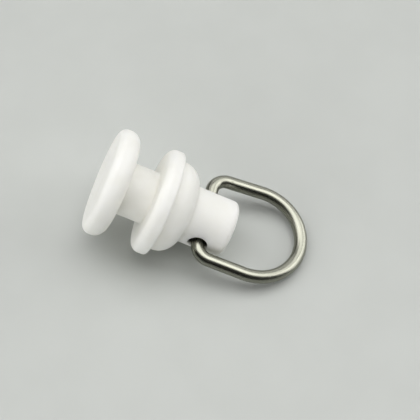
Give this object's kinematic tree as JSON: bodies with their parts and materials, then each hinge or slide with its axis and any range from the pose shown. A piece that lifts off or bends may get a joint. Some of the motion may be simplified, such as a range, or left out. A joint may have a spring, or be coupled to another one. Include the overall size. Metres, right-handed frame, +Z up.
{
  "type": "curtain glider",
  "caption": "Moulded curtain track glider: round head, neck, flange, domed shoulder and stub tail, with a bent wire ring that swings in a cross hole to carry the curtain.",
  "frame": {"origin": "on the surface that the glider lies on, under the middle of the whole outline", "axes": "+X from the head towards the ring, +Y along the cross hole, +Z up from the surface"},
  "size_m": [0.037, 0.0192, 0.0201],
  "materials": {
    "white_plastic": "satin moulded, slightly milky",
    "satin_wire": "satin drawn wire, slightly warm"
  },
  "bodies": {
    "body": {"glider_body": "white_plastic"},
    "ring": {"wire_ring": "satin_wire"}
  },
  "joints": [
    {"name": "ring_swing", "type": "hinge", "parent": "body", "child": "ring", "pos_m": [0.00123, 0.0005, 0.00539], "axis": [0, 1, 0], "range_deg": [-123, 138]}
  ]
}
